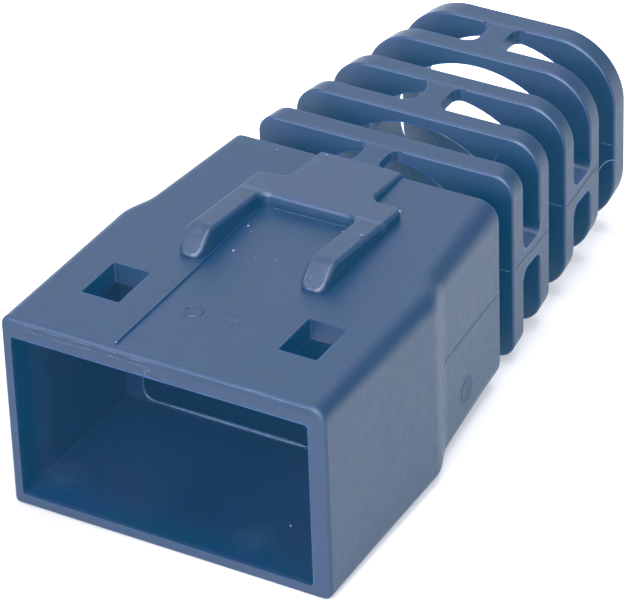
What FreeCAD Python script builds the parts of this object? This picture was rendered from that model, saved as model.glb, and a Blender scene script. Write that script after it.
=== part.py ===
import FreeCAD, Part
import math
import os

# Strain relief boot for an eight-way modular plug: one soft moulding.
# Millimetres. X is across the boot, +Y runs from the mouth towards the cable
# end, +Z is up. The origin is the middle of the mouth's bottom outer edge.

# ---- sleeve, outside ----
sleeve_length = 15.50
sleeve_height = 8.60
mouth_half_width = 7.00
front_half_taper = 0.004        # half width lost per mm, mouth to shoulder
shoulder_start = 8.35
shoulder_end = 10.15
shoulder_ease = 0.36            # how soon each side turns into the shoulder
rear_half_width = 6.45          # half width just behind the shoulder
rear_half_width_at = 10.30
rear_half_taper = 0.0925
front_floor_rise = 0.032        # underside climbs this much per mm
rear_floor_z = 0.28
underside_ease = 5.50           # length over which the climb dies away
front_top_right_radius = 0.62
rear_top_right_radius = 0.85
front_top_left_radius = 0.42
rear_top_left_radius = 0.50
front_bottom_right_radius = 0.40
front_bottom_left_radius = 0.22
rear_bottom_radius = 1.00
mouth_edge_radius = 0.16
rear_edge_radius = 0.16

# ---- core: the hollow inside, moulded slightly off centre ----
core_shift = -0.17
mouth_left_wall = 0.415
mouth_right_wall = 0.76
mouth_top_wall = 0.86
mouth_bottom_wall = 0.505
front_cavity_depth = 7.50
front_cavity_draft = 0.004
front_cavity_corner = 0.15
rear_cavity_half_width = 5.58
rear_cavity_end_half_width = 4.75
rear_cavity_floor = 0.68
rear_cavity_end_floor = 1.05
rear_cavity_top_wall = 1.15
rear_cavity_corner = 0.50
rear_cavity_end_corner = 1.40
rear_wall = 1.50                # left standing behind the rear cavity

# ---- latch windows in the roof ----
window_inner_x = 3.46
window_outer_x = 5.10
window_front_y = 2.75
window_rear_y = 5.05
window_corner_radius = 0.08

# ---- shallow recess that the latch lies over ----
recess_left_x = -2.10
recess_right_x = 2.20           # where the recess has died out
recess_front_y = 0.30
recess_depth = 0.08             # along its left edge

# ---- raised guard: two prongs, a crossbar and a stem ----
guard_left_x = -3.28
guard_right_x = 3.16
guard_left_inner_x = -2.24
guard_right_inner_x = 2.04
guard_front_y = 6.62
guard_crossbar_front_y = 11.30
guard_crossbar_rear_y = 12.95
stem_left_x = -2.06
stem_right_x = 1.72
guard_height = 0.90             # over the roof, at guard_height_at
guard_height_at = 7.50
guard_fall = 0.095              # lost per mm towards the cable
guard_tip_rise = 0.12           # upright front of each prong tip, over the roof
guard_tip_run = 0.85            # length of the slope above it
guard_tip_radius = 0.90         # between the slope and the guard's top
guard_tip_corner = 0.40         # in plan
guard_edge_radius = 0.17
guard_plan_outer_radius = 0.42
guard_plan_inner_radius = 0.45
guard_stem_radius = 0.42

# ---- cable end: five rings in a tapering tube ----
slot_1 = 1.49                   # slots and rings, counted from the sleeve
ring_1 = 1.02
slot_2 = 1.64
ring_2 = 0.94
slot_3 = 1.67
ring_3 = 0.90
slot_4 = 1.72
ring_4 = 0.92
slot_5 = 1.65
ring_5 = 1.05
tail_side_step = 0.092          # tail is this much inside the sleeve's rear face
tail_half_taper = 0.072
tail_top_lift = 0.069           # tail stands this much over the sleeve's roof
tail_top_rise = 0.015
tail_bottom_drop = 0.021        # and hangs this much under its rear underside
tail_bottom_rise = 0.009
tail_top_radius = 0.54
tail_top_radius_growth = 0.173
tail_bottom_radius = 0.571
tail_bottom_radius_growth = 0.153
ring_edge_radius = 0.09

# ---- cable bore: oval all the way through the rings ----
bore_half_width = 4.24
bore_top_wall = 0.30            # under the sleeve's roof
bore_bottom_wall = 0.62         # over its rear underside
bore_width_loss = 0.04          # half width lost by the cable end
bore_height_loss = 0.06         # half height lost by the cable end

# ---- bridges between the rings ----
top_bridge_width = 1.05
top_bridge_shift = -0.075
side_bridge_width = 0.90
side_bridge_drop = 0.06         # under the middle of the sleeve's rear face
bridge_root_radius = 0.42
bridge_bite = 0.20              # how far a bridge runs into each ring

# ---- cutting and joining ----
overlap = 0.50                  # how far solids that join run into each other
spare = 2.00                    # how far a cutting tool runs past what it cuts
reach = 2.0 * (sleeve_length + mouth_half_width)


def mix(a, b, t):
    return a + (b - a) * t


def rounded_section(y, x0, x1, z0, z1, r_bottom, r_top):
    """Closed wire in the plane at y: a rectangle with round corners."""
    k = math.sqrt(0.5)

    def point(x, z):
        return FreeCAD.Vector(x, y, z)

    def corner(cx, cz, sx, sz, r, start_is_side):
        side = point(cx + sx * r, cz)
        middle = point(cx + sx * r * k, cz + sz * r * k)
        cap = point(cx, cz + sz * r)
        if start_is_side:
            return Part.Arc(side, middle, cap).toShape(), side, cap
        return Part.Arc(cap, middle, side).toShape(), cap, side

    c1, a1, b1 = corner(x1 - r_bottom, z0 + r_bottom, 1, -1, r_bottom, False)
    c2, a2, b2 = corner(x1 - r_top, z1 - r_top, 1, 1, r_top, True)
    c3, a3, b3 = corner(x0 + r_top, z1 - r_top, -1, 1, r_top, False)
    c4, a4, b4 = corner(x0 + r_bottom, z0 + r_bottom, -1, -1, r_bottom, True)
    edges = [
        Part.makeLine(b4, a1), c1,
        Part.makeLine(b1, a2), c2,
        Part.makeLine(b2, a3), c3,
        Part.makeLine(b3, a4), c4,
    ]
    return Part.Wire(edges)


def edges_at_y(shape, y):
    found = []
    for edge in shape.Edges:
        if all(abs(v.Point.y - y) < 1e-4 for v in edge.Vertexes):
            found.append(edge)
    return found


def bezier(points):
    curve = Part.BezierCurve()
    curve.setPoles(points)
    return curve.toShape()


def rear_half_at(y):
    """Half width of the sleeve behind its shoulder."""
    return rear_half_width - rear_half_taper * (y - rear_half_width_at)


def sleeve_side(sign, z):
    """Plan line of one side: straight, eased in over the shoulder, straight."""
    def point(x, y):
        return FreeCAD.Vector(sign * x, y, z)

    before = mouth_half_width - front_half_taper * shoulder_start
    after = rear_half_at(shoulder_end)
    ease = shoulder_ease * (shoulder_end - shoulder_start)
    poles = [
        point(before, shoulder_start),
        point(before - front_half_taper * ease, shoulder_start + ease),
        point(after + rear_half_taper * ease, shoulder_end - ease),
        point(after, shoulder_end),
    ]
    return [
        Part.makeLine(point(mouth_half_width, 0), poles[0]),
        bezier(poles),
        Part.makeLine(poles[3], point(rear_half_at(sleeve_length), sleeve_length)),
    ]


def sleeve_block():
    """The sleeve before its long edges are rounded."""
    low = -spare
    right = sleeve_side(1, low)
    left = sleeve_side(-1, low)
    front = Part.makeLine(left[0].Vertexes[0].Point, right[0].Vertexes[0].Point)
    rear = Part.makeLine(right[2].Vertexes[1].Point, left[2].Vertexes[1].Point)
    plan = Part.Wire(Part.sortEdges([front] + right + [rear] + left)[0])
    block = Part.Face(plan).extrude(FreeCAD.Vector(0, 0, sleeve_height - low))

    def point(y, z):
        return FreeCAD.Vector(-reach, y, z)

    sole = [
        bezier([point(0, 0), point(underside_ease, front_floor_rise * underside_ease),
                point(sleeve_length - underside_ease, rear_floor_z), point(sleeve_length, rear_floor_z)]),
        Part.makeLine(point(sleeve_length, rear_floor_z), point(sleeve_length, -reach)),
        Part.makeLine(point(sleeve_length, -reach), point(0, -reach)),
        Part.makeLine(point(0, -reach), point(0, 0)),
    ]
    return block.cut(Part.Face(Part.Wire(sole)).extrude(FreeCAD.Vector(2 * reach, 0, 0)))


def bottom_radius(front_radius, y):
    """Bottom corner's radius: steady to the shoulder, then growing to the rear."""
    t = max(0.0, y - shoulder_start) / (sleeve_length - shoulder_start)
    return mix(front_radius, rear_bottom_radius, t)


def round_long_edges(block, front_top, rear_top, front_bottom):
    """The block with the long corners of its right side rounded."""
    document = FreeCAD.newDocument("sleeve")
    base = document.addObject("Part::Feature", "block")
    base.Shape = block
    wanted = []
    for index, edge in enumerate(block.Edges):
        ends = [edge.firstVertex().Point, edge.lastVertex().Point]
        if abs(ends[0].y - ends[1].y) < 0.1 or min(p.x for p in ends) < 0:
            continue
        if ends[0].z > 0.5 * sleeve_height:
            radii = [mix(front_top, rear_top, p.y / sleeve_length) for p in ends]
        else:
            radii = [bottom_radius(front_bottom, p.y) for p in ends]
        wanted.append((index + 1, radii[0], radii[1]))
    rounded = document.addObject("Part::Fillet", "rounded")
    rounded.Base = base
    rounded.Edges = wanted
    document.recompute()
    shape = rounded.Shape.copy()
    FreeCAD.closeDocument(document.Name)
    return shape


def make_sleeve():
    block = sleeve_block()
    keep = Part.makeBox(reach, 2 * reach, 2 * reach, FreeCAD.Vector(0, -reach, -reach))
    right = round_long_edges(
        block, front_top_right_radius, rear_top_right_radius, front_bottom_right_radius)
    left = round_long_edges(
        block, front_top_left_radius, rear_top_left_radius, front_bottom_left_radius)
    right = right.common(keep)
    left = left.common(keep)
    left = left.mirror(FreeCAD.Vector(0, 0, 0), FreeCAD.Vector(1, 0, 0))
    body = right.fuse(left).removeSplitter()
    body = body.makeFillet(mouth_edge_radius, edges_at_y(body, 0.0))
    return body.makeFillet(rear_edge_radius, edges_at_y(body, sleeve_length))


def make_front_cavity():
    def section(y):
        lean = front_cavity_draft * y
        x0 = -mouth_half_width + mouth_left_wall + lean
        x1 = mouth_half_width - mouth_right_wall - lean
        z0 = mouth_bottom_wall + lean
        z1 = sleeve_height - mouth_top_wall - lean
        return rounded_section(y, x0, x1, z0, z1, front_cavity_corner, front_cavity_corner)

    return Part.makeLoft([section(-spare), section(front_cavity_depth)], True, True)


def make_rear_cavity():
    roof = sleeve_height - rear_cavity_top_wall
    near = rounded_section(
        front_cavity_depth - overlap,
        core_shift - rear_cavity_half_width,
        core_shift + rear_cavity_half_width,
        rear_cavity_floor, roof,
        rear_cavity_corner, rear_cavity_corner)
    far = rounded_section(
        sleeve_length - rear_wall,
        core_shift - rear_cavity_end_half_width,
        core_shift + rear_cavity_end_half_width,
        rear_cavity_end_floor, roof,
        rear_cavity_end_corner, rear_cavity_end_corner)
    return Part.makeLoft([near, far], True, True)


def ring_spans():
    """Where each ring starts and ends, counted on from the sleeve's rear face."""
    slots = [slot_1, slot_2, slot_3, slot_4, slot_5]
    rings = [ring_1, ring_2, ring_3, ring_4, ring_5]
    spans = []
    y = sleeve_length
    for slot, ring in zip(slots, rings):
        spans.append((y + slot, y + slot + ring))
        y += slot + ring
    return spans


def make_bore():
    low = rear_floor_z + bore_bottom_wall
    high = sleeve_height - bore_top_wall

    def section(y, loss_x, loss_z):
        centre = FreeCAD.Vector(0, y, 0.5 * (low + high))
        side = centre + FreeCAD.Vector(bore_half_width - loss_x, 0, 0)
        top = centre + FreeCAD.Vector(0, 0, 0.5 * (high - low) - loss_z)
        return Part.Wire([Part.Ellipse(side, top, centre).toShape()])

    near = section(sleeve_length - rear_wall - overlap, 0.0, 0.0)
    far = section(ring_spans()[-1][1] + overlap, bore_width_loss, bore_height_loss)
    return Part.makeLoft([near, far], True, True)


def make_windows():
    cutters = []
    for sign in (-1, 1):
        x0 = min(sign * window_inner_x, sign * window_outer_x)
        box = Part.makeBox(
            window_outer_x - window_inner_x,
            window_rear_y - window_front_y,
            mouth_top_wall + 2 * overlap,
            FreeCAD.Vector(x0, window_front_y, sleeve_height - mouth_top_wall - overlap))
        upright = [e for e in box.Edges if abs(e.tangentAt(e.FirstParameter).z) > 0.5]
        cutters.append(box.makeFillet(window_corner_radius, upright))
    return cutters


def rounded_polygon(corners, z):
    """Closed wire at height z through (x, y, radius) corners, rounded in plan."""
    count = len(corners)
    starts = []
    ends = []
    arcs = []
    for i in range(count):
        x, y, r = corners[i]
        here = FreeCAD.Vector(x, y, z)
        before = FreeCAD.Vector(corners[i - 1][0], corners[i - 1][1], z)
        after = FreeCAD.Vector(corners[(i + 1) % count][0], corners[(i + 1) % count][1], z)
        u = (before - here).normalize()
        v = (after - here).normalize()
        half_angle = 0.5 * u.getAngle(v)
        run = r / math.tan(half_angle)
        middle_way = (u + v).normalize()
        centre = here + middle_way * (r / math.sin(half_angle))
        a = here + u * run
        b = here + v * run
        m = centre - middle_way * r
        starts.append(a)
        ends.append(b)
        arcs.append(Part.Arc(a, m, b).toShape())
    edges = []
    for i in range(count):
        edges.append(arcs[i])
        edges.append(Part.makeLine(ends[i], starts[(i + 1) % count]))
    return Part.Wire(edges)


def guard_outline(z):
    """The guard's plan: two prongs, the crossbar behind them and the stem."""
    rear = sleeve_length + overlap
    corners = [
        (guard_left_x, guard_front_y, guard_tip_corner),
        (guard_left_inner_x, guard_front_y, guard_tip_corner),
        (guard_left_inner_x, guard_crossbar_front_y, guard_plan_inner_radius),
        (guard_right_inner_x, guard_crossbar_front_y, guard_plan_inner_radius),
        (guard_right_inner_x, guard_front_y, guard_tip_corner),
        (guard_right_x, guard_front_y, guard_tip_corner),
        (guard_right_x, guard_crossbar_rear_y, guard_plan_outer_radius),
        (stem_right_x, guard_crossbar_rear_y, guard_stem_radius),
        (stem_right_x, rear, guard_edge_radius),
        (stem_left_x, rear, guard_edge_radius),
        (stem_left_x, guard_crossbar_rear_y, guard_stem_radius),
        (guard_left_x, guard_crossbar_rear_y, guard_plan_outer_radius),
    ]
    return rounded_polygon(corners, z)


def prism(points):
    """Everything across the boot whose (y, z) lies inside the points."""
    wire = Part.makePolygon([FreeCAD.Vector(-reach, y, z) for y, z in points + points[:1]])
    return Part.Face(wire).extrude(FreeCAD.Vector(2 * reach, 0, 0))


def slope_cutter():
    """Everything above the guard's falling top plane."""
    def top_at(y):
        return sleeve_height + guard_height - guard_fall * (y - guard_height_at)

    y0 = -spare
    y1 = sleeve_length + spare
    return prism([(y0, top_at(y0)), (y1, top_at(y1)), (y1, reach), (y0, reach)])


def tip_cutter():
    """Everything in front of the slope that ends each prong."""
    slope = guard_tip_run / (guard_height - guard_tip_rise)
    middle = sleeve_height + guard_tip_rise
    low = middle - spare
    high = middle + spare
    y0 = guard_front_y - slope * spare
    y1 = guard_front_y + slope * spare
    return prism([(y0, low), (y1, high), (-reach, high), (-reach, low)])


def faces_up(face):
    """True for the guard's top, its sloping tips and the rounding between them."""
    u0, u1, v0, v1 = face.ParameterRange
    return face.normalAt(0.5 * (u0 + u1), 0.5 * (v0 + v1)).z > 0.2


def skin_edges(guard, faces_wanted):
    """Edges with so many upward faces beside them, off the hidden foot and rear end."""
    found = []
    for edge in guard.Edges:
        middle = edge.valueAt(0.5 * (edge.FirstParameter + edge.LastParameter))
        hidden = middle.z < sleeve_height - 0.9 * overlap or middle.y > sleeve_length + 0.9 * overlap
        beside = guard.ancestorsOfType(edge, Part.Face)
        if not hidden and sum(faces_up(f) for f in beside) == faces_wanted:
            found.append(edge)
    return found


def make_guard():
    plan = Part.Face(guard_outline(sleeve_height - overlap))
    guard = plan.extrude(FreeCAD.Vector(0, 0, spare + overlap))
    guard = guard.cut([slope_cutter(), tip_cutter()])
    guard = guard.makeFillet(guard_tip_radius, skin_edges(guard, 2))
    guard = guard.makeFillet(guard_edge_radius, skin_edges(guard, 1))
    keep = Part.makeBox(2 * reach, sleeve_length, reach, FreeCAD.Vector(-reach, 0, 0))
    return guard.common(keep)


def make_recess():
    """A thin wedge, deepest along its left edge, that ends under the crossbar."""
    corners = [
        (recess_left_x, sleeve_height - recess_depth),
        (recess_right_x, sleeve_height),
        (recess_right_x, sleeve_height + spare),
        (recess_left_x, sleeve_height + spare),
    ]
    wire = Part.makePolygon(
        [FreeCAD.Vector(x, recess_front_y, z) for x, z in corners + corners[:1]])
    rear = guard_crossbar_front_y + overlap
    return Part.Face(wire).extrude(FreeCAD.Vector(0, rear - recess_front_y, 0))


def tail_section(y):
    d = y - sleeve_length
    half = rear_half_at(sleeve_length) - tail_side_step - tail_half_taper * d
    z1 = sleeve_height + tail_top_lift + tail_top_rise * d
    z0 = rear_floor_z - tail_bottom_drop + tail_bottom_rise * d
    r_top = tail_top_radius + tail_top_radius_growth * d
    r_bottom = tail_bottom_radius + tail_bottom_radius_growth * d
    return rounded_section(y, -half, half, z0, z1, r_bottom, r_top)


def tail_solid(y0, y1):
    return Part.makeLoft([tail_section(y0), tail_section(y1)], True, True)


def make_ring(y0, y1):
    ring = tail_solid(y0, y1)
    ring = ring.makeFillet(ring_edge_radius, edges_at_y(ring, y0))
    return ring.makeFillet(ring_edge_radius, edges_at_y(ring, y1))


def make_bridge(a0, a1, y0, y1, over_roof):
    """A bar from a0 to a1 that spans a slot and flares round at its four roots.

    a runs across the roof and floor when over_roof is set, and up the sides if not.
    """
    r = min(bridge_root_radius, 0.49 * (y1 - y0))
    k = r * math.sqrt(0.5)
    bar = []

    def lift(a, y):
        if over_roof:
            return FreeCAD.Vector(a, y, -reach)
        return FreeCAD.Vector(-reach, y, a)

    def line(p, q):
        bar.append(Part.makeLine(lift(*p), lift(*q)))

    def root(cx, cy, sx, sy, leaving):
        # a quarter circle about (cx, cy), from the ring's face to the bar's side
        face = lift(cx, cy - sy * r)
        middle = lift(cx - sx * k, cy - sy * k)
        side = lift(cx - sx * r, cy)
        ends = (side, middle, face) if leaving else (face, middle, side)
        bar.append(Part.Arc(*ends).toShape())

    lo = y0 - bridge_bite
    hi = y1 + bridge_bite
    line((a0 - r, lo), (a1 + r, lo))
    line((a1 + r, lo), (a1 + r, y0))
    root(a1 + r, y0 + r, 1, 1, False)
    line((a1, y0 + r), (a1, y1 - r))
    root(a1 + r, y1 - r, 1, -1, True)
    line((a1 + r, y1), (a1 + r, hi))
    line((a1 + r, hi), (a0 - r, hi))
    line((a0 - r, hi), (a0 - r, y1))
    root(a0 - r, y1 - r, -1, -1, False)
    line((a0, y1 - r), (a0, y0 + r))
    root(a0 - r, y0 + r, -1, 1, True)
    line((a0 - r, y0), (a0 - r, lo))
    along = FreeCAD.Vector(0, 0, 2 * reach) if over_roof else FreeCAD.Vector(2 * reach, 0, 0)
    return Part.Face(Part.Wire(bar)).extrude(along)


def make_bridges():
    """Bars over the roof and floor, then at the sides, in turn from slot to slot."""
    middle_z = 0.5 * (sleeve_height + rear_floor_z) - side_bridge_drop
    bridges = []
    near = sleeve_length
    for i, (y0, y1) in enumerate(ring_spans()):
        over_roof = i % 2 == 0
        middle = top_bridge_shift if over_roof else middle_z
        half = 0.5 * (top_bridge_width if over_roof else side_bridge_width)
        bar = make_bridge(middle - half, middle + half, near, y0, over_roof)
        bridges.append(bar.common(tail_solid(near - bridge_bite, y0 + bridge_bite)))
        near = y1
    return bridges


def make_boot():
    outside = make_sleeve()
    outside = outside.cut(make_recess())
    outside = outside.fuse(make_guard())
    outside = outside.fuse([make_ring(y0, y1) for y0, y1 in ring_spans()])
    outside = outside.fuse(make_bridges())
    hollow = [make_front_cavity(), make_rear_cavity(), make_bore()]
    boot = outside.cut(hollow + make_windows())
    boot = boot.removeSplitter()
    if boot.ShapeType != "Solid":
        boot = boot.Solids[0]
    return boot


def main():
    os.makedirs("parts", exist_ok=True)
    boot = make_boot()
    boot.exportStep("parts/boot.step")
    box = boot.optimalBoundingBox(False)
    print("solids", len(boot.Solids), "valid", boot.isValid(), "volume", round(boot.Volume, 2))
    print("box", [round(v, 3) for v in (box.XMin, box.YMin, box.ZMin, box.XMax, box.YMax, box.ZMax)])


main()
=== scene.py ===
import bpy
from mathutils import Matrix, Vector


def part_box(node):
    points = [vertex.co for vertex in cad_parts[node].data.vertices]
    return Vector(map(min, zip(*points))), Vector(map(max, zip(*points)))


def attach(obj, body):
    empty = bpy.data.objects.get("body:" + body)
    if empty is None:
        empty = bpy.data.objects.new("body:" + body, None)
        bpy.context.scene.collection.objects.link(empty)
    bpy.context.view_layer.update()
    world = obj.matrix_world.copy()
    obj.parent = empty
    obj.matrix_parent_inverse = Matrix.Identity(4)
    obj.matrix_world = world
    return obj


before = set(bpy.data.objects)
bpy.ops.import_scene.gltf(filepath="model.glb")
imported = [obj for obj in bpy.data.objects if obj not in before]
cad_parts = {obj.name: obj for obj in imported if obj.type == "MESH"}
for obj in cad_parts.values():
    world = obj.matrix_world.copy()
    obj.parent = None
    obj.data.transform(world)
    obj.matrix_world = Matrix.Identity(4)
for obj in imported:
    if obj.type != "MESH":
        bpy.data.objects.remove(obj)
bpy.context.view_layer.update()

import math

import bmesh
import bpy
import numpy as np
from mathutils import Matrix, Vector
from mathutils.bvhtree import BVHTree

bl_info = {
    "name": "Plug Boot",
    "version": (1, 1, 0),
    "blender": (4, 5, 0),
    "location": "View3D > Sidebar > Plug Boot",
    "description": "Moulded strain relief boot for a modular plug, with its finish, mould marks and studio",
    "category": "Object",
}

MM = 0.001
MERGE_DISTANCE = 1e-8                       # metres; a piece's points that lie closer are made one
TO_MOUTH = (0.0, -1.0, 0.0)                 # the way out of the mouth, away from the cable
TO_RIGHT = (1.0, 0.0, 0.0)

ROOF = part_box("boot")[0][2] + 8.595 * MM    # the sleeve's flat top, under the guard
RING_FACES = (16.99 * MM, 19.65 * MM, 22.26 * MM, 24.88 * MM, 27.45 * MM)    # the rings' mouth sides
RING_TOP = 8.65 * MM                        # just under the rings' flat top
BORE_MIDDLE = 4.60 * MM                     # height of the cable bore's middle
BORE_HALF_WIDTH = 4.24 * MM
BORE_HALF_HEIGHT = 3.70 * MM
BRIDGE_SLOTS = ((18.10 * MM, 19.56 * MM), (23.25 * MM, 24.79 * MM))    # the slots that side bridges cross
BRIDGE_TOP = 4.80 * MM                      # just under the side bridges' flat top
CROSSBAR_FACE = 11.30 * MM                  # the mouth side of the guard's crossbar
TIPS_END = 7.90 * MM                        # how far back the guard's tips reach, which are painted lighter
HOLLOW_LEFT = -6.80 * MM                    # the hollow behind the mouth, a little outside its walls
HOLLOW_RIGHT = 6.50 * MM
HOLLOW_BOTTOM = 0.30 * MM
HOLLOW_TOP = 8.00 * MM
HOLLOW_END = 9.30 * MM                      # where its painted shade ends
LIGHT_POOLS = ((-5.9 * MM, 1.7 * MM), (2.8 * MM, 1.6 * MM))    # painted pools of light on the mouth's floor


# ---------------------------------------------------------------- settings

class BootFinish(bpy.types.PropertyGroup):
    plastic: bpy.props.FloatVectorProperty(
        name="Plastic", description="Body colour of the soft compound", subtype="COLOR",
        size=3, min=0.0, max=1.0, default=(0.0, 0.0085, 0.0255))
    violet: bpy.props.FloatVectorProperty(
        name="Violet", description="Colour that the compound clouds towards", subtype="COLOR",
        size=3, min=0.0, max=1.0, default=(0.0025, 0.0065, 0.0305))
    # painted light: the compound gives off this colour as emission, standing in for fill light in its
    # recesses; the colours below are the same painted light
    glow: bpy.props.FloatVectorProperty(
        name="Glow", description="Light that the translucent compound carries into its recesses",
        subtype="COLOR", size=3, min=0.0, max=1.0, default=(0.0, 0.037, 0.080))
    # painted shade: a darker, greyer emission deep inside the mouth
    deep: bpy.props.FloatVectorProperty(
        name="Deep glow", description="The same light far inside the mouth", subtype="COLOR",
        size=3, min=0.0, max=1.0, default=(0.005, 0.030, 0.064))
    # painted light: pools of light on the mouth's floor, given off as emission
    pool_glow: bpy.props.FloatVectorProperty(
        name="Scuff glow", description="The same light on the scuffed patches of the mouth's floor",
        subtype="COLOR", size=3, min=0.0, max=1.0, default=(0.018, 0.052, 0.102))
    # painted light: the side bridges' tops face up into the light and are painted paler
    bridge_glow: bpy.props.FloatVectorProperty(
        name="Bridge glow", description="The same light on the side bridges' tops", subtype="COLOR",
        size=3, min=0.0, max=1.0, default=(0.060, 0.090, 0.165))
    # painted light: a paler emission high on the rings' and the crossbar's mouth sides
    wall_glow: bpy.props.FloatVectorProperty(
        name="Wall glow", description="The same light high on the rings' and the crossbar's mouth sides",
        subtype="COLOR", size=3, min=0.0, max=1.0, default=(0.022, 0.066, 0.128))
    # a paler colour, for the lip and the plain mark
    paler_tone: bpy.props.FloatVectorProperty(
        name="Rubbed", description="Colour of the lip and of other rubbed places", subtype="COLOR",
        size=3, min=0.0, max=1.0, default=(0.0085, 0.0125, 0.0330))
    # painted highlight: the guard's tips face up towards the front light, so their colour is painted
    # lighter
    tip_highlight: bpy.props.FloatVectorProperty(
        name="Worn", description="Colour of the guard's worn tips", subtype="COLOR",
        size=3, min=0.0, max=1.0, default=(0.0150, 0.0180, 0.0330))
    crumb: bpy.props.FloatVectorProperty(
        name="Crumb", description="Colour of the larger pale crumbs", subtype="COLOR",
        size=3, min=0.0, max=1.0, default=(0.085, 0.110, 0.150))
    pale: bpy.props.FloatVectorProperty(
        name="Thin edge", description="Colour of thin flash and stretched threads", subtype="COLOR",
        size=3, min=0.0, max=1.0, default=(0.030, 0.048, 0.080))
    # the parting line is a real raised line; this darker colour is painted shade that deepens its shading,
    # and it also colours the lip's dark groove line
    line_shade: bpy.props.FloatVectorProperty(
        name="Parting line", description="Colour of the fine line where the mould halves meet",
        subtype="COLOR", size=3, min=0.0, max=1.0, default=(0.001, 0.005, 0.015))
    dust: bpy.props.FloatVectorProperty(
        name="Dust", description="Colour of the fine dust on the skin", subtype="COLOR",
        size=3, min=0.0, max=1.0, default=(0.040, 0.058, 0.085))
    roughness: bpy.props.FloatProperty(
        name="Roughness", description="Roughness of the moulded skin", min=0.0, max=1.0, default=0.43)
    grain: bpy.props.FloatProperty(
        name="Grain", description="Size of the moulded grain", subtype="DISTANCE", default=0.14 * MM)
    grain_depth: bpy.props.FloatProperty(
        name="Grain depth", description="Depth of the moulded grain", subtype="DISTANCE",
        default=0.005 * MM)
    gloss_index: bpy.props.FloatProperty(
        name="Index", description="Refractive index of the compound", min=1.0, max=2.0, default=1.55)
    scatter: bpy.props.FloatProperty(
        name="Scatter", description="How deep light wanders in the compound", subtype="DISTANCE",
        default=0.8 * MM)


class BootMarks(bpy.types.PropertyGroup):
    parting_height: bpy.props.FloatProperty(
        name="Parting line height", description="Height of the mould's parting line", subtype="DISTANCE",
        default=4.60 * MM)
    line_width: bpy.props.FloatProperty(
        name="Line width", description="Width of the parting line", subtype="DISTANCE", default=0.075 * MM)
    line_height: bpy.props.FloatProperty(
        name="Line height", description="How far the parting line stands proud", subtype="DISTANCE",
        default=0.012 * MM)
    pin_y: bpy.props.FloatProperty(
        name="Pin mark, along", description="Pin mark's place along the boot", subtype="DISTANCE",
        default=12.05 * MM)
    pin_z: bpy.props.FloatProperty(
        name="Pin mark, up", description="Pin mark's height", subtype="DISTANCE", default=2.05 * MM)
    pin_radius: bpy.props.FloatProperty(
        name="Pin mark radius", description="Radius of the pin mark's rim", subtype="DISTANCE",
        default=0.49 * MM)
    thread: bpy.props.FloatProperty(
        name="Thread", description="Thickness of a stretched thread of compound", subtype="DISTANCE",
        default=0.06 * MM)
    badge_x: bpy.props.FloatProperty(
        name="Mark, across", description="Middle of the plain mark on the roof", subtype="DISTANCE",
        default=0.15 * MM)
    badge_y: bpy.props.FloatProperty(
        name="Mark, along", description="Middle of the plain mark on the roof", subtype="DISTANCE",
        default=3.65 * MM)
    badge_stroke: bpy.props.FloatProperty(
        name="Mark stroke", description="Width of the plain mark's raised strokes", subtype="DISTANCE",
        default=0.11 * MM)


class BootStage(bpy.types.PropertyGroup):
    floor_tone: bpy.props.FloatVectorProperty(
        name="Floor", description="Colour of the plain floor", subtype="COLOR",
        size=3, min=0.0, max=1.0, default=(0.45, 0.43, 0.37))
    front_left_lamp: bpy.props.FloatVectorProperty(
        name="Front left", description="Light that the floor gives off at the front left",
        subtype="COLOR", size=3, min=0.0, max=2.0, default=(0.08, 0.08, 0.09))
    back_left_lamp: bpy.props.FloatVectorProperty(
        name="Back left", description="Light that the floor gives off at the back left",
        subtype="COLOR", size=3, min=0.0, max=2.0, default=(1.22, 1.24, 1.32))
    right_lamp: bpy.props.FloatVectorProperty(
        name="Right", description="Light that the floor gives off at the right", subtype="COLOR",
        size=3, min=0.0, max=2.0, default=(0.34, 0.35, 0.38))
    light_tint: bpy.props.FloatVectorProperty(
        name="Light", description="Colour of the studio light", subtype="COLOR",
        size=3, min=0.0, max=2.0, default=(1.0, 1.055, 1.311))
    aim: bpy.props.FloatVectorProperty(
        name="Aim", description="Point that the camera looks at", subtype="TRANSLATION",
        size=3, default=(0.0035091, 0.0052640, 0.0093180))
    distance: bpy.props.FloatProperty(
        name="Distance", description="Camera to aim", subtype="DISTANCE", default=0.160)
    azimuth: bpy.props.FloatProperty(
        name="Azimuth", description="Camera's turn to the right of the mouth", subtype="ANGLE",
        default=math.radians(30.93))
    elevation: bpy.props.FloatProperty(
        name="Elevation", description="Camera's height over the floor plane", subtype="ANGLE",
        default=math.radians(33.07))
    roll: bpy.props.FloatProperty(
        name="Roll", description="Camera's tilt about its axis", subtype="ANGLE",
        default=math.radians(-2.125))
    lens: bpy.props.FloatProperty(
        name="Lens", description="Focal length in mm on a 36 mm wide sensor", default=248.30)


# ---------------------------------------------------------------- shader kit

class Wire:
    """A node socket that takes part in Python sums; every operator adds one Math node."""

    def __init__(self, shader, socket):
        self.shader = shader
        self.socket = socket

    def combine(self, operation, a, b):
        return self.shader.add("ShaderNodeMath", {"operation": operation}, {0: a, 1: b})[0]

    def __add__(self, other):
        return self.combine("ADD", self, other)

    def __sub__(self, other):
        return self.combine("SUBTRACT", self, other)

    def __rsub__(self, other):
        return self.combine("SUBTRACT", other, self)

    def __mul__(self, other):
        return self.combine("MULTIPLY", self, other)

    def __pow__(self, other):
        return self.combine("POWER", self, other)

    __radd__ = __add__
    __rmul__ = __mul__

    def ramp(self, low, high):
        """0 below low, 1 above high, smooth between; falls instead where low is over high."""
        if low > high:
            return 1.0 - self.ramp(high, low)
        return self.shader.add(
            "ShaderNodeMapRange", {"interpolation_type": "SMOOTHSTEP"},
            {"Value": self, "From Min": low, "From Max": high})[0]

    def band(self, start, end, fade):
        """1 between start and end, with a smooth fall to 0 over fade inside each."""
        return self.ramp(start, start + fade) * self.ramp(end, end - fade)


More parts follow.
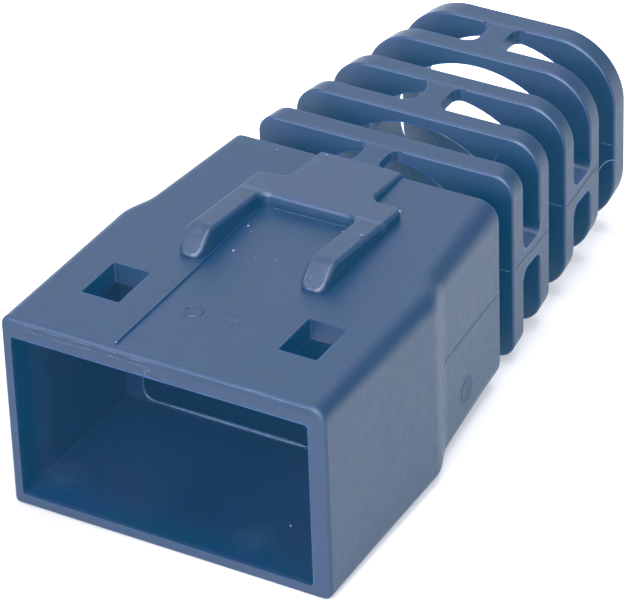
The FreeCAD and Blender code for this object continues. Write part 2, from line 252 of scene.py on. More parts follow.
class Shader:
    """A material's node tree, written as expressions."""

    def __init__(self, name):
        self.material = bpy.data.materials.new(name)
        self.material.use_nodes = True
        self.tree = self.material.node_tree
        self.tree.nodes.clear()

    def add(self, kind, settings, sockets):
        """Adds a node, sets its settings, then gives each socket, by its name or its number, a link or a
        value; returns the node's outputs."""
        node = self.tree.nodes.new(kind)
        for key, value in settings.items():
            setattr(node, key, value)
        for place, value in sockets.items():
            socket = node.inputs[place]
            if isinstance(value, Wire):
                self.tree.links.new(value.socket, socket)
            elif socket.type == "RGBA":
                socket.default_value = (*value, 1.0)
            else:
                socket.default_value = value
        return [Wire(self, out) for out in node.outputs]

    def blend(self, factor, a, b):
        """Colour a where factor is 0, colour b where it is 1."""
        return self.add("ShaderNodeMix", {"data_type": "RGBA"}, {0: factor, 6: a, 7: b})[2]

    def place(self):
        """The point being shaded, on the object's own coordinates."""
        return self.add("ShaderNodeTexCoord", {}, {})[3]

    def axes(self):
        """The x, y and z of the point being shaded, in metres."""
        return self.add("ShaderNodeSeparateXYZ", {}, {"Vector": self.place()})

    def noise(self, size, detail=2.0, rough=0.5):
        """Soft noise from 0 to 1 whose features are size metres across."""
        return self.add(
            "ShaderNodeTexNoise", {},
            {"Vector": self.place(), "Scale": 1.0 / size, "Detail": detail, "Roughness": rough})[0]

    def finish(self, surface):
        """Ends the tree with surface and returns the material."""
        self.add("ShaderNodeOutputMaterial", {}, {"Surface": surface})
        return self.material


def soft_plastic(finish):
    """Matte blue compound: it scatters light inside, clouds towards violet, gives off painted light as
    emission and has a fine moulded grain, deeper on the lip and on the guard's tips, with a few pale
    flecks.  The tips carry a painted highlight, and the lip is paler, all but the right half of its upper
    edge."""
    shader = Shader("blue_soft_plastic")
    x, y, z = shader.axes()
    cloud = shader.noise(1.9 * MM, detail=3.0, rough=0.55).ramp(0.40, 0.62)
    mottle = shader.noise(0.40 * MM, detail=2.0, rough=0.6).ramp(0.35, 0.70)
    colour = shader.blend(cloud * 0.7 + mottle * 0.3, finish.plastic, finish.violet)
    # the paler lip
    lip = y.ramp(0.10 * MM, 0.02 * MM)
    lip_part = (x.ramp(0.3 * MM, -0.5 * MM) + z.ramp(8.40 * MM, 8.15 * MM)).ramp(0.0, 1.0)
    colour = shader.blend(lip * lip_part * (mottle * 0.5 + 0.5), colour, finish.paler_tone)
    # painted highlight on the guard's tips, which face up towards the front light
    tips = z.ramp(ROOF + 0.02 * MM, ROOF + 0.10 * MM) * y.ramp(TIPS_END, TIPS_END - 0.60 * MM)
    colour = shader.blend(tips * (mottle * 0.6 + 0.4), colour, finish.tip_highlight)
    # pale flecks, most of them on the lip and the tips
    fleck_size = 0.42 * MM
    cells = shader.add(
        "ShaderNodeTexVoronoi", {"feature": "F1"},
        {"Vector": shader.place(), "Scale": 1.0 / fleck_size, "Randomness": 1.0})[0]
    patches = shader.noise(0.9 * MM, detail=1.0).ramp(0.60, 0.66)
    picked = patches * 0.35 + tips * 0.6 + lip * 0.5
    colour = shader.blend(cells.ramp(0.20, 0.08) * picked * 0.4, colour, finish.pale)
    # roughness and grain, both stronger round the mouth
    rim = y.ramp(0.30 * MM, 0.10 * MM)
    mottle_roughness = 0.05
    rough = mottle * mottle_roughness + rim * 0.12 + (finish.roughness - 0.5 * mottle_roughness)
    grain = shader.noise(finish.grain, detail=3.0, rough=0.6) * (tips * 2.2 + rim * 2.0 + 1.0)
    wave = shader.noise(1.2 * MM)
    bump = shader.add(
        "ShaderNodeBump", {},
        {"Strength": 1.0, "Distance": finish.grain_depth, "Height": grain + wave * 1.5})[0]
    # the emission below is painted light: teal fill in the recesses, with painted shade and painted light
    # on parts of it
    surface = shader.add("ShaderNodeBsdfPrincipled", {}, {
        "Base Color": colour, "Roughness": rough, "IOR": finish.gloss_index, "Normal": bump,
        "Subsurface Weight": 1.0, "Subsurface Radius": (0.1, 0.7, 1.0), "Subsurface Scale": finish.scatter,
        "Emission Color": painted_glow(shader, finish, (x, y, z), mottle), "Emission Strength": 1.0})[0]
    return shader.finish(surface)


def painted_glow(shader, finish, axes, mottle):
    """Painted light, given off as emission: teal fill light in every recess, painted shade deep in the
    mouth, darker and greyer there, two soft painted pools of light on the mouth's floor, painted light on
    the tops of the side bridges between the rings, and paler painted light high on the mouth sides of the
    rings and of the guard's crossbar."""
    x, y, z = axes
    across = x.band(HOLLOW_LEFT, HOLLOW_RIGHT, 0.10 * MM)
    up = z.band(HOLLOW_BOTTOM, HOLLOW_TOP, 0.10 * MM)
    hollow = across * up * y.ramp(HOLLOW_END, HOLLOW_END - 0.40 * MM)
    # the painted shade starts at a wavy depth
    drift = (shader.noise(3.2 * MM) - 0.5) * (2.4 * MM)
    glow = shader.blend(hollow * (y + drift).ramp(0.3 * MM, 2.2 * MM), finish.glow, finish.deep)
    # painted pools of light on the mouth's floor
    pools = sum(pool_of_light(x, y, middle) for middle in LIGHT_POOLS)
    glow = shader.blend(hollow * pools * (mottle * 0.5 + 0.3), glow, finish.pool_glow)
    # painted light on the side bridges' tops
    bridge = sum(y.band(start, end, 0.08 * MM) for start, end in BRIDGE_SLOTS)
    bridge = bridge * z.ramp(BRIDGE_TOP - 0.08 * MM, BRIDGE_TOP) * (mottle * 0.5 + 0.4)
    glow = shader.blend(bridge, glow, finish.bridge_glow)
    # painted light high on the mouth sides of the rings and of the crossbar
    wall = sum(
        y.ramp(face - 0.10 * MM, face - 0.04 * MM) * y.ramp(face + 0.26 * MM, face + 0.03 * MM)
        for face in RING_FACES)
    bar = (y.ramp(CROSSBAR_FACE - 0.10 * MM, CROSSBAR_FACE - 0.04 * MM)
           * y.ramp(CROSSBAR_FACE + 0.30 * MM, CROSSBAR_FACE + 0.06 * MM) * z.ramp(ROOF, ROOF + 0.3 * MM))
    return shader.blend(wall * z.ramp(RING_TOP - 1.15 * MM, RING_TOP) + bar, glow, finish.wall_glow)


def pool_of_light(x, y, middle):
    """A soft painted pool of light: 1 at its middle and 0 from 1 mm off, a quarter longer along y."""
    middle_x, middle_y = middle
    far = (x - middle_x) ** 2.0 + ((y - middle_y) * 0.8) ** 2.0
    return far.ramp((1.0 * MM) ** 2, (0.1 * MM) ** 2)


def thin_plastic(name, colour, finish, roughness, shift):
    """The same compound where it is thin or dirty: colour, with a soft change of up to shift towards the
    body's colour along it, and the body's teal glow, painted light given off as emission."""
    shader = Shader(name)
    tone = shader.noise(0.25 * MM, detail=2.0, rough=0.6).ramp(0.35, 0.65)
    surface = shader.add("ShaderNodeBsdfPrincipled", {}, {
        "Base Color": shader.blend(tone * shift, colour, finish.plastic),
        "Roughness": tone * 0.1 + roughness, "IOR": finish.gloss_index,
        "Emission Color": finish.glow, "Emission Strength": 1.0})[0]
    return shader.finish(surface)


# ---------------------------------------------------------------- mesh kit

def length(vectors):
    return np.linalg.norm(vectors, axis=-1, keepdims=True)


def level(value, count):
    """An array that holds the same value count times."""
    return np.full(count, value)


def curve(points, count):
    """count points on the Bezier curve that points steer: their sum, each weighted by its Bernstein
    polynomial, n over i times t to the i times (1 - t) to the (n - i)."""
    points = np.asarray(points, float)
    n = len(points) - 1
    i = np.arange(n + 1)
    choose = np.array([math.comb(n, k) for k in i])
    t = np.linspace(0.0, 1.0, count)[:, None]
    return (choose * t ** i * (1.0 - t) ** (n - i)) @ points


def ridge(path, out, width, height, fade=0.12, sides=10, swell=1.0):
    """A fine ridge along a path, closed to a point at both ends.  Round each point p of the path runs the
    oval p + w cos(v) across + h sin(v) out, w being half the width and h the height; both are scaled by a
    quarter circle over the first and last stretch, fade of the whole each, and by swell."""
    path = np.asarray(path, float)
    out = np.broadcast_to(np.asarray(out, float), path.shape)
    along = np.gradient(path, axis=0)
    along = along / length(along)
    across = np.cross(along, out)
    across = across / length(across)
    out = np.cross(across, along)
    s = np.linspace(0.0, 1.0, len(path))
    end = np.clip(np.minimum(s, 1.0 - s) / fade, 0.0, 1.0)
    scale = np.sqrt(np.maximum(0.0, 1.0 - (1.0 - end) ** 2)) * swell
    v = np.linspace(0.0, 2.0 * math.pi, sides, endpoint=False)[None, :, None]
    oval = 0.5 * width * np.cos(v) * across[:, None] + height * np.sin(v) * out[:, None]
    return path[:, None] + scale[:, None, None] * oval


def lump(centre, out, radius, rng):
    """A crumb: a ball whose radius is 1 + a sin(2 u + b) sin(3 v + c) sin(u), with a, b and c drawn from
    rng, flattened along out."""
    squash = 0.7
    u = np.linspace(0.0, math.pi, 7)[:, None]
    v = np.linspace(0.0, 2.0 * math.pi, 10, endpoint=False)[None, :]
    a = rng.uniform(0.1, 0.35)
    b = rng.uniform(0.0, 6.0)
    c = rng.uniform(0.0, 6.0)
    far = radius * (1.0 + a * np.sin(2.0 * u + b) * np.sin(3.0 * v + c) * np.sin(u))
    out = np.asarray(out, float)
    side = np.cross(out, (0.31, 0.57, 0.76))    # any direction off out does
    side = side / length(side)
    other = np.cross(out, side)
    flat = far * np.sin(u)
    ball = (flat * np.cos(v))[..., None] * side + (flat * np.sin(v))[..., None] * other
    return np.asarray(centre) + ball + (far * np.cos(u) * squash)[..., None] * out


def disc(centre, out, radii, heights):
    """A closed round pad: height over the skin as a function of radius, turned about out."""
    out = np.asarray(out, float)
    side = np.cross(out, (0.0, 1.0, 0.0))
    side = side / length(side)
    other = np.cross(out, side)
    v = np.linspace(0.0, 2.0 * math.pi, 40, endpoint=False)[None, :, None]
    flat = np.asarray(radii)[:, None, None] * (np.cos(v) * side + np.sin(v) * other)
    return np.asarray(centre) + flat + np.asarray(heights)[:, None, None] * out


def faces_of(index):
    """The quads between the neighbours of a grid of vertex numbers."""
    corners = (index[:-1, :-1], index[:-1, 1:], index[1:, 1:], index[1:, :-1])
    return np.stack(corners, -1).reshape(-1, 4)


def mesh_object(name, verts, quads, material):
    """A mesh object in the scene, with its double points merged, empty faces dropped and faces outward."""
    mesh = bpy.data.meshes.new(name)
    mesh.from_pydata(verts, [], quads)
    work = bmesh.new()
    work.from_mesh(mesh)
    bmesh.ops.remove_doubles(work, verts=work.verts, dist=MERGE_DISTANCE)
    bmesh.ops.dissolve_degenerate(work, edges=work.edges, dist=MERGE_DISTANCE)
    bmesh.ops.recalc_face_normals(work, faces=work.faces)
    work.to_mesh(mesh)
    work.free()
    mesh.shade_smooth()
    mesh.materials.append(material)
    made = bpy.data.objects.new(name, mesh)
    bpy.context.scene.collection.objects.link(made)
    return made


def detail(name, grids, material):
    """One piece of the boot made of closed tubes: each grid has shape (rows, columns, 3), its columns run
    round and its first and last row are points.  It rides with the boot and takes its finish."""
    verts = []
    quads = []
    start = 0
    for grid in grids:
        rows, columns = grid.shape[:2]
        index = start + np.arange(rows * columns).reshape(rows, columns)
        quads.append(faces_of(np.hstack([index, index[:, :1]])))
        verts.append(grid.reshape(-1, 3))
        start += rows * columns
    made = mesh_object(name, np.concatenate(verts), np.concatenate(quads), material)
    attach(made, "root")


class Skin:
    """The boot's own surface, asked where rays meet it."""
    OUTSIDE = 0.02    # metres off the boot's axes, where rays start

    def __init__(self):
        self.tree = BVHTree.FromObject(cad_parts["boot"], bpy.context.evaluated_depsgraph_get())

    def hit(self, starts, way):
        """Where rays from starts along way first meet the boot, and the skin's outward direction there."""
        found = [self.tree.ray_cast(Vector(start), Vector(way)) for start in starts]
        if any(point is None for point, normal, index, far in found):
            raise RuntimeError("a mark's place lies beside the boot")
        return np.array([hit[0] for hit in found]), np.array([hit[1] for hit in found])

    def side(self, sign, y, z):
        """The skin of one side at each y and z."""
        x = level(sign * self.OUTSIDE, len(y))
        return self.hit(np.stack([x, y, z], -1), (-sign, 0.0, 0.0))

    def front(self, x, z):
        """The skin seen from the mouth's side at each x and z."""
        return self.hit(np.stack([x, level(-self.OUTSIDE, len(x)), z], -1), (0.0, 1.0, 0.0))

    def top(self, x, y):
        """The skin seen from above at each x and y."""
        return self.hit(np.stack([x, y, level(self.OUTSIDE, len(x))], -1), (0.0, 0.0, -1.0))


# ---------------------------------------------------------------- operators

class PLUGBOOT_OT_moulding(bpy.types.Operator):
    """Gives the moulding its matte blue compound"""
    bl_idname = "plugboot.moulding"
    bl_label = "Moulding"

    def execute(self, context):
        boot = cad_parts["boot"]
        material = soft_plastic(context.scene.boot_finish)
        if not boot.material_slots:
            boot.data.materials.append(material)
        for slot in boot.material_slots:
            slot.material = material
        return {"FINISHED"}


class PLUGBOOT_OT_parting_line(bpy.types.Operator):
    """Adds the fine line round the sides where the mould's halves meet, coloured darker as painted shade"""
    bl_idname = "plugboot.parting_line"
    bl_label = "Parting line"

    def execute(self, context):
        finish = context.scene.boot_finish
        marks = context.scene.boot_marks
        skin = Skin()
        sides = []
        rings = []
        for sign in (1.0, -1.0):
            for y, z in self.stretches(marks):
                path, out = skin.side(sign, y, z)
                sides.append(ridge(path, out, marks.line_width, marks.line_height, fade=0.04))
            for ring_y in RING_FACES[::2]:
                rings.append(self.ring_flash(skin, marks, sign, ring_y))
        # painted shade: the raised line is coloured darker than the body
        dark = thin_plastic("parting_line", finish.line_shade, finish, roughness=0.55, shift=0.4)
        light = thin_plastic("parting_flash", finish.pale, finish, roughness=0.45, shift=0.5)
        detail("parting_line_sides", sides, dark)
        detail("parting_line_rings", rings, light)
        return {"FINISHED"}

    def stretches(self, marks):
        """Along the sleeve's rear part the line sags by (d / 12)^2 mm, d being the way from y = 11 mm, and
        hooks down at the shoulder; along the tail it runs from the first to the second ring and from the
        third to the fourth, over the side bridge between them, with a wave of 0.05 sin(1.7 y) mm."""
        y = np.linspace(9.72, 15.28, 60)
        hook = 0.30 * np.exp(-((y - 9.60) / 0.24) ** 2)
        z = 0.02 - ((y - 11.0) / 12.0) ** 2 - hook
        yield y * MM, marks.parting_height + z * MM
        for start, end in ((17.15, 20.45), (22.40, 25.66)):
            y = np.linspace(start, end, 40)
            yield y * MM, marks.parting_height - (0.15 + 0.05 * np.sin(1.7 * y)) * MM

    def ring_flash(self, skin, marks, sign, ring_y):
        """On a ring's mouth side the line runs in from the ring's outer edge to the bore, with a wave of
        0.02 sin(900 x) mm, x in metres."""
        bore_x = 4.40 * MM
        round_edge = 0.12 * MM
        drop = 0.13 * MM
        in_slot = 0.4 * MM
        on_ring, _ = skin.side(sign, [ring_y + 0.3 * MM], [marks.parting_height])
        x = sign * np.linspace(abs(on_ring[0][0]) - round_edge, bore_x, 14)
        z = marks.parting_height - drop + 0.02 * MM * np.sin(900.0 * x)
        starts = np.stack([x, level(ring_y - in_slot, len(x)), z], -1)
        path, out = skin.hit(starts, (0.0, 1.0, 0.0))
        return ridge(path, out, marks.line_width, 2.0 * marks.line_height, fade=0.1)


class PLUGBOOT_OT_pin_mark(bpy.types.Operator):
    """Adds the dished mark that a mould pin left on the right side"""
    bl_idname = "plugboot.pin_mark"
    bl_label = "Pin mark"

    def execute(self, context):
        """Its height over the skin is level plus a rim, rim / (1 + ((r - R) / w)^2); at its edge it dives
        under the skin and closes there."""
        finish = context.scene.boot_finish
        marks = context.scene.boot_marks
        inside = 0.004 * MM
        rim = 0.020 * MM
        rim_width = 0.045 * MM
        under = -0.01 * MM
        centre, out = Skin().side(1.0, [marks.pin_y], [marks.pin_z])
        r = np.linspace(0.0, 1.22, 22) * marks.pin_radius
        height = inside + rim / (1.0 + ((r - marks.pin_radius) / rim_width) ** 2)
        height[-1] = under
        r = np.append(r, 0.0)
        height = np.append(height, 2.0 * under)
        material = thin_plastic("pin_mark", finish.plastic, finish, roughness=0.48, shift=0.5)
        detail("pin_mark", [disc(centre[0], out[0], r, height)], material)
        return {"FINISHED"}


class PLUGBOOT_OT_threads(bpy.types.Operator):
    """Adds the thin flash on two rings' inner edges and the stretched threads of compound"""
    bl_idname = "plugboot.threads"
    bl_label = "Flash and threads"

    def execute(self, context):
        finish = context.scene.boot_finish
        thick = context.scene.boot_marks.thread
        grids = [self.bore_flash(RING_FACES[0], 0.55, 1.05, thick),
                 self.bore_flash(RING_FACES[1], 0.20, 0.80, thick)]
        curl = [(2.95, 19.62, 7.40), (3.25, 19.45, 7.32), (3.62, 19.50, 7.45), (3.72, 19.60, 7.95)]
        grids.append(ridge(curve(curl, 30) * MM, TO_MOUTH, thick, 0.5 * thick, fade=0.3, sides=8))
        # the thread that bridges the last slot, from one ring's side to the next
        hair = [
            (5.17, 25.62, 4.22), (5.17, 26.05, 4.52), (5.09, 26.75, 4.20), (5.05, 27.20, 3.95),
            (5.00, 27.98, 3.46)]
        grids.append(ridge(curve(hair, 48) * MM, TO_RIGHT, 0.8 * thick, 0.4 * thick, fade=0.3, sides=8))
        material = thin_plastic("thin_flash", finish.pale, finish, roughness=0.40, shift=0.35)
        detail("flash_threads", grids, material)
        return {"FINISHED"}

    def bore_flash(self, ring_y, start, end, thick):
        """A broken line along the bore's upper edge, x = a sin(t), z = middle + b cos(t), its thickness
        scaled by 0.6 + 0.4 sin(23 t) sin(61 t)."""
        t = np.linspace(start, end, 40)
        x = BORE_HALF_WIDTH * np.sin(t)
        z = BORE_MIDDLE + BORE_HALF_HEIGHT * np.cos(t)
        path = np.stack([x, level(ring_y, len(t)), z], -1)
        swell = 0.6 + 0.4 * np.sin(23.0 * t) * np.sin(61.0 * t)
        return ridge(path, TO_MOUTH, thick, 0.5 * thick, fade=0.2, sides=8, swell=swell)


class PLUGBOOT_OT_edge_flash(bpy.types.Operator):
    """Adds the lip's witness lines, a dark line of painted groove shade and a nick, the guard's foot line
    and the step's pale line
    """
    bl_idname = "plugboot.edge_flash"
    bl_label = "Edge flash"
    STEP_CORNER = np.array((-5.25, 7.49, 1.18))    # middle of the step's rounded corner, in mm
    STEP_RADIUS = 0.50                             # of that corner, in mm
    STEP_OUT = (0.0, -0.7, 0.7)                    # the way that the step's edge faces

    def execute(self, context):
        finish = context.scene.boot_finish
        skin = Skin()
        # painted shade: a dark raised line stands in for a groove's shade
        dark = thin_plastic("lip_groove_shade", finish.line_shade, finish, roughness=0.55, shift=0.4)
        detail("lip_groove_shade", [self.groove_shade(skin)], dark)
        light = thin_plastic("edge_flash", finish.pale, finish, roughness=0.45, shift=0.75)
        grids = [*self.lip_lines(skin), self.foot_line(skin), self.nick(), *self.step_lines()]
        detail("edge_flash", grids, light)
        return {"FINISHED"}

    def lip_lines(self, skin):
        """Broken pale lines on the lip and its upper edge: each waves by 0.02 sin(1900 x) mm about its
        height, x in metres, and its thickness is 0.55 + 0.45 sin(5200 x) plus a random part."""
        rng = np.random.default_rng(7)
        for start, end, height in ((-6.40, -0.60, 8.43), (-5.90, -0.40, 8.22), (0.9, 6.2, 8.53)):
            x = np.linspace(start, end, 160) * MM
            path, out = skin.front(x, height * MM + 0.02 * MM * np.sin(1900.0 * x))
            swell = 0.55 + 0.45 * np.sin(5200.0 * x) + rng.uniform(-0.5, 0.5, len(x))
            swell = np.clip(swell, 0.12, 1.0)
            yield ridge(path, out, 0.06 * MM, 0.014 * MM, fade=0.04, sides=8, swell=swell)

    def foot_line(self, skin):
        """The line in the corner where the guard's crossbar meets the roof."""
        x = np.linspace(-2.0, 1.75, 60) * MM
        path, out = skin.top(x, level(CROSSBAR_FACE - 0.03 * MM, len(x)))
        path = path + (0.0, 0.0, 0.01 * MM)
        return ridge(path, out, 0.05 * MM, 0.012 * MM, fade=0.1, sides=8)

    def nick(self):
        hook = [(-0.62, 0.0, 7.78), (-0.68, 0.0, 7.98), (-0.60, 0.0, 8.14), (-0.36, 0.0, 8.08)]
        return ridge(curve(hook, 24) * MM, TO_MOUTH, 0.10 * MM, 0.02 * MM, fade=0.3, sides=8)

    def groove_shade(self, skin):
        """A straight dark raised line between the lip's two left witness lines, painted shade that stands
        in for a groove.
        """
        x = np.linspace(-5.7, -1.2, 90) * MM
        path, out = skin.front(x, level(8.35 * MM, len(x)))
        return ridge(path, out, 0.035 * MM, 0.006 * MM, fade=0.05, sides=8)

    def step_lines(self):
        """The step inside the mouth: down one side, round the corner by a quarter circle and along the
        floor, then thinner on its own, its thickness 0.55 + 0.45 cos(t)."""
        turn = np.linspace(math.pi, 1.5 * math.pi, 16)
        corner = self.step_path(self.STEP_RADIUS * np.cos(turn), self.STEP_RADIUS * np.sin(turn))
        down = self.step_path(level(-self.STEP_RADIUS, 20), np.linspace(2.4, 0.05, 20))
        along = self.step_path(np.linspace(0.05, 7.0, 60), level(-self.STEP_RADIUS, 60))
        step = np.concatenate([down, corner, along]) * MM
        swell = np.interp(np.arange(len(step)), (0, 36, 50, 80, len(step)), (0.25, 0.55, 0.75, 1.0, 0.9))
        yield ridge(step, self.STEP_OUT, 0.17 * MM, 0.03 * MM, fade=0.10, sides=8, swell=swell)
        thin = self.step_path(np.linspace(7.2, 10.9, 40), level(-self.STEP_RADIUS, 40))
        swell = 0.55 + 0.45 * np.cos(np.linspace(0.0, 9.0, 40))
        thin = thin * MM
        yield ridge(thin, self.STEP_OUT, 0.045 * MM, 0.012 * MM, fade=0.1, sides=8, swell=swell)

    def step_path(self, x, z):
        """Points in the step's plane, x and z mm from the middle of its corner."""
        return self.STEP_CORNER + np.stack([x, level(0.0, len(x)), z], -1)


class PLUGBOOT_OT_plain_mark(bpy.types.Operator):
    """Adds a plain raised ring and three bars in the marked place on the roof"""
    bl_idname = "plugboot.plain_mark"
    bl_label = "Plain mark"

    def execute(self, context):
        """The ring is x = R sin(v), y = R cos(v) about its middle, left open a little at one point."""
        finish = context.scene.boot_finish
        marks = context.scene.boot_marks
        skin = Skin()
        height = 0.034 * MM
        ring_radius = 0.36 * MM
        v = np.linspace(0.15, 2.0 * math.pi - 0.15, 48)
        x = marks.badge_x - 0.85 * MM + ring_radius * np.sin(v)
        y = marks.badge_y - 0.05 * MM + ring_radius * np.cos(v)
        path, out = skin.top(x, y)
        grids = [ridge(path, out, marks.badge_stroke, height, fade=0.06)]
        for shift, start, end in ((-0.50, 0.25, 0.95), (0.0, 0.10, 1.15), (0.50, 0.25, 0.95)):
            x = np.linspace(marks.badge_x + start * MM, marks.badge_x + end * MM, 24)
            path, out = skin.top(x, level(marks.badge_y + shift * MM, len(x)))
            grids.append(ridge(path, out, marks.badge_stroke, height, fade=0.1))
        material = thin_plastic("plain_mark", finish.paler_tone, finish, roughness=0.42, shift=0.5)
        detail("plain_mark", grids, material)
        return {"FINISHED"}


class PLUGBOOT_OT_dust(bpy.types.Operator):
    """Adds crumbs and dust: a few larger crumbs on the roof, and fine dust drawn at random"""
    bl_idname = "plugboot.dust"
    bl_label = "Dust"

    def execute(self, context):
        finish = context.scene.boot_finish
        skin = Skin()
        rng = np.random.default_rng(11)
        crumbs = self.crumbs(skin, rng)
        detail("crumbs", crumbs, thin_plastic("crumbs", finish.crumb, finish, roughness=0.7, shift=0.4))
        grids = [*self.roof_dust(skin, rng), *self.side_dust(skin, rng)]
        detail("dust", grids, thin_plastic("dust", finish.dust, finish, roughness=0.7, shift=0.5))
        return {"FINISHED"}

    def crumbs(self, skin, rng):
        # x, y and radius of each, in mm
        places = np.array([
            (-3.7, 15.0, 0.05), (-1.6, 15.3, 0.06), (-1.5, 7.9, 0.07), (-1.9, 9.7, 0.06),
            (-1.6, 9.4, 0.04), (3.1, 12.7, 0.08), (1.6, 10.9, 0.06), (0.3, 8.0, 0.04),
            (-0.5, 7.8, 0.04), (1.7, 7.9, 0.03), (3.6, 2.9, 0.05), (2.9, 10.1, 0.07), (-2.1, 0.4, 0.06)])
        spots, outs = skin.top(places[:, 0] * MM, places[:, 1] * MM)
        for spot, out, radius in zip(spots, outs, places[:, 2]):
            yield lump(spot + 0.3 * radius * MM * out, out, radius * MM, rng)

    def roof_dust(self, skin, rng):
        """Nearly half of the roof's dust lies along the mouth's edge, and none on its rounded sides."""
        count = 60
        x = rng.uniform(-6.0, 6.0, count)
        by_edge = rng.random(count) < 0.45
        y = np.where(by_edge, rng.uniform(0.1, 0.7, count), rng.uniform(0.3, 15.0, count))
        kept = np.abs(x) < 6.3 - 0.06 * y
        spots, outs = skin.top(x[kept] * MM, y[kept] * MM)
        for spot, out in zip(spots, outs):
            if spot[2] > ROOF - 0.2 * MM:
                yield lump(spot, out, rng.uniform(0.012, 0.030) * MM, rng)

    def side_dust(self, skin, rng):
        count = 16
        y = rng.uniform(0.6, 15.0, count) * MM
        z = rng.uniform(1.5, 7.0, count) * MM
        for spot, out in zip(*skin.side(1.0, y, z)):
            yield lump(spot, out, rng.uniform(0.012, 0.028) * MM, rng)


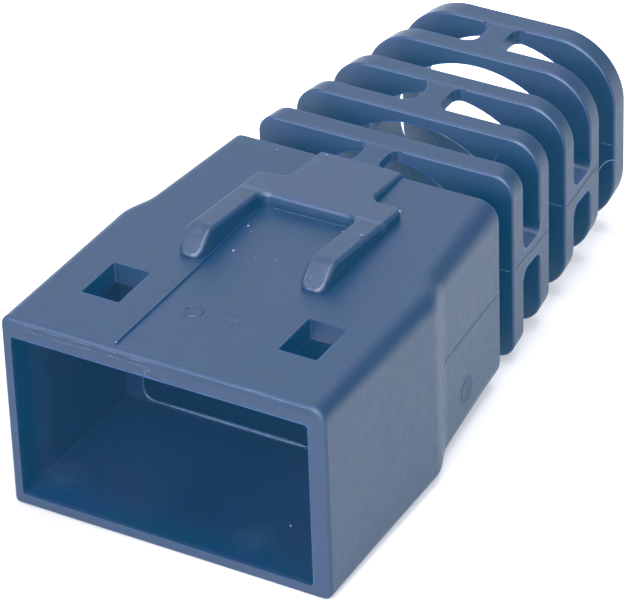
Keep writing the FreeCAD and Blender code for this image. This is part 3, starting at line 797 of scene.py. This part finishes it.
class PLUGBOOT_OT_stage(bpy.types.Operator):
    """Sets the plain floor, the soft lights and the camera"""
    bl_idname = "plugboot.stage"
    bl_label = "Stage"

    def execute(self, context):
        stage = context.scene.boot_stage
        self.floor(stage)
        self.lights(context, stage)
        self.camera(context, stage)
        return {"FINISHED"}

    def floor(self, stage):
        """A flat sheet just under the boot that curves up far away all round: z = 0.8 max(0, d - 0.9)^2, d
        being how far a point is from the boot.  It gives off light of its own, which differs by side."""
        count = 81
        u, v = np.meshgrid(np.linspace(-2.0, 2.0, count), np.linspace(-1.5, 2.5, count), indexing="ij")
        away = np.maximum(0.0, np.hypot(u, v) - 0.9)
        verts = np.stack([u, v, 0.8 * away ** 2 - 0.02 * MM], -1).reshape(-1, 3)
        quads = faces_of(np.arange(count * count).reshape(count, count).T)
        shader = Shader("floor_white")
        tone = tuple(stage.floor_tone)
        tone = shader.blend(shader.noise(0.2), tone, tuple(0.98 * c for c in tone))
        x, y, z = shader.axes()
        right = x.ramp(-6.0 * MM, 6.0 * MM)
        back = y.ramp(6.0 * MM, 18.0 * MM)
        left_lamp = shader.blend(back, stage.front_left_lamp, stage.back_left_lamp)
        surface = shader.add("ShaderNodeBsdfPrincipled", {}, {
            "Base Color": tone, "Roughness": 0.9,
            "Emission Color": shader.blend(right, left_lamp, stage.right_lamp),
            "Emission Strength": 1.0})[0]
        mesh_object("floor", verts, quads, shader.finish(surface))

    def lights(self, context, stage):
        """Square panels that face the boot: each one's bearing from the cable end towards the right and its
        height over the floor plane, in degrees, and how bright it is."""
        world = bpy.data.worlds.new("studio")
        world.use_nodes = True
        world.node_tree.nodes["Background"].inputs[0].default_value = (1.0, 1.0, 1.0, 1.0)
        world.node_tree.nodes["Background"].inputs[1].default_value = 0.0
        context.scene.world = world
        panels = [
            ("front_panel", 180.0, 35.0, 10.70),
            ("low_front_panel", 180.0, 12.0, 4.60),
            ("right_panel", 90.0, 62.0, 0.90),
            ("front_right_panel", 135.0, 35.0, 3.45),
            ("top_panel", 0.0, 88.0, 6.90),
        ]
        centre = Vector((0.0, 0.014, 0.004))    # the boot's middle
        size = 0.36
        distance = 0.5
        for name, bearing, height, radiance in panels:
            a = math.radians(bearing)
            e = math.radians(height)
            way = Vector((math.sin(a) * math.cos(e), math.cos(a) * math.cos(e), math.sin(e)))
            lamp = bpy.data.lights.new(name, "AREA")
            lamp.shape = "SQUARE"
            lamp.size = size
            lamp.energy = math.pi * size * size * radiance
            lamp.color = tuple(stage.light_tint)
            made = bpy.data.objects.new(name, lamp)
            context.scene.collection.objects.link(made)
            made.location = centre + distance * way
            made.rotation_euler = (-way).to_track_quat("-Z", "Y").to_euler()

    def camera(self, context, stage):
        """The camera sits distance away from aim along the view's azimuth and elevation, rolled about its
        axis."""
        a = stage.azimuth
        e = stage.elevation
        back = Vector((math.sin(a) * math.cos(e), -math.cos(a) * math.cos(e), math.sin(e)))
        right = Vector((math.cos(a), math.sin(a), 0.0))
        up = back.cross(right)
        turn = Matrix((right, up, back)).transposed() @ Matrix.Rotation(stage.roll, 3, "Z")
        lens = bpy.data.cameras.new("camera")
        lens.lens = stage.lens
        lens.sensor_width = 36.0
        lens.sensor_fit = "HORIZONTAL"
        lens.clip_start = 0.01
        lens.clip_end = 20.0
        made = bpy.data.objects.new("camera", lens)
        context.scene.collection.objects.link(made)
        made.matrix_world = Matrix.Translation(Vector(stage.aim) + back * stage.distance) @ turn.to_4x4()
        context.scene.camera = made
        context.scene.view_settings.view_transform = "Standard"
        context.scene.view_settings.look = "None"


class PLUGBOOT_PT_panel(bpy.types.Panel):
    """Lists the boot's pieces and its stage"""
    bl_idname = "PLUGBOOT_PT_panel"
    bl_label = "Plug Boot"
    bl_space_type = "VIEW_3D"
    bl_region_type = "UI"
    bl_category = "Plug Boot"

    def draw(self, context):
        for name, group in SETTINGS.items():
            box = self.layout.box()
            for key in group.__annotations__:
                box.prop(getattr(context.scene, name), key)
        for operator in OPERATORS:
            self.layout.operator(operator.bl_idname)


SETTINGS = {"boot_finish": BootFinish, "boot_marks": BootMarks, "boot_stage": BootStage}
OPERATORS = (
    PLUGBOOT_OT_moulding,
    PLUGBOOT_OT_parting_line,
    PLUGBOOT_OT_pin_mark,
    PLUGBOOT_OT_threads,
    PLUGBOOT_OT_edge_flash,
    PLUGBOOT_OT_plain_mark,
    PLUGBOOT_OT_dust,
    PLUGBOOT_OT_stage,
)
CLASSES = (*SETTINGS.values(), *OPERATORS, PLUGBOOT_PT_panel)


def register():
    for cls in CLASSES:
        bpy.utils.register_class(cls)
    for name, group in SETTINGS.items():
        setattr(bpy.types.Scene, name, bpy.props.PointerProperty(type=group))


def unregister():
    for name in SETTINGS:
        delattr(bpy.types.Scene, name)
    for cls in reversed(CLASSES):
        bpy.utils.unregister_class(cls)


def main():
    register()
    bpy.ops.plugboot.moulding()
    bpy.ops.plugboot.parting_line()
    bpy.ops.plugboot.pin_mark()
    bpy.ops.plugboot.threads()
    bpy.ops.plugboot.edge_flash()
    bpy.ops.plugboot.plain_mark()
    bpy.ops.plugboot.dust()
    bpy.ops.plugboot.stage()


if __name__ == "__main__":
    main()
